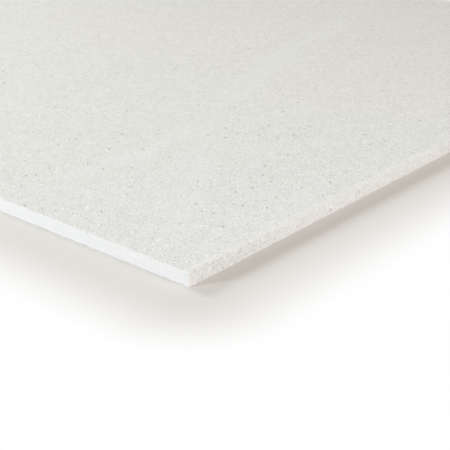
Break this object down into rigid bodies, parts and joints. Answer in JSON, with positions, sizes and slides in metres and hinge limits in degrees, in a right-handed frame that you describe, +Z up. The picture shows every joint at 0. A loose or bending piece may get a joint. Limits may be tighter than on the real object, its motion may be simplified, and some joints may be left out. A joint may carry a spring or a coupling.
{
  "type": "drywall sheet",
  "caption": "Flat square-edged sheet of uncoated gypsum fibre board with eased arrises, lying flat.",
  "frame": {"origin": "middle of the underside, on the floor that the sheet lies on", "axes": "+X along the length, +Y across the width, +Z up through the thickness, out of the sanded face"},
  "size_m": [1.5, 1, 0.015],
  "materials": {
    "gypsum_fibre": "matte"
  },
  "bodies": {
    "root": {"board": "gypsum_fibre"}
  },
  "joints": []
}
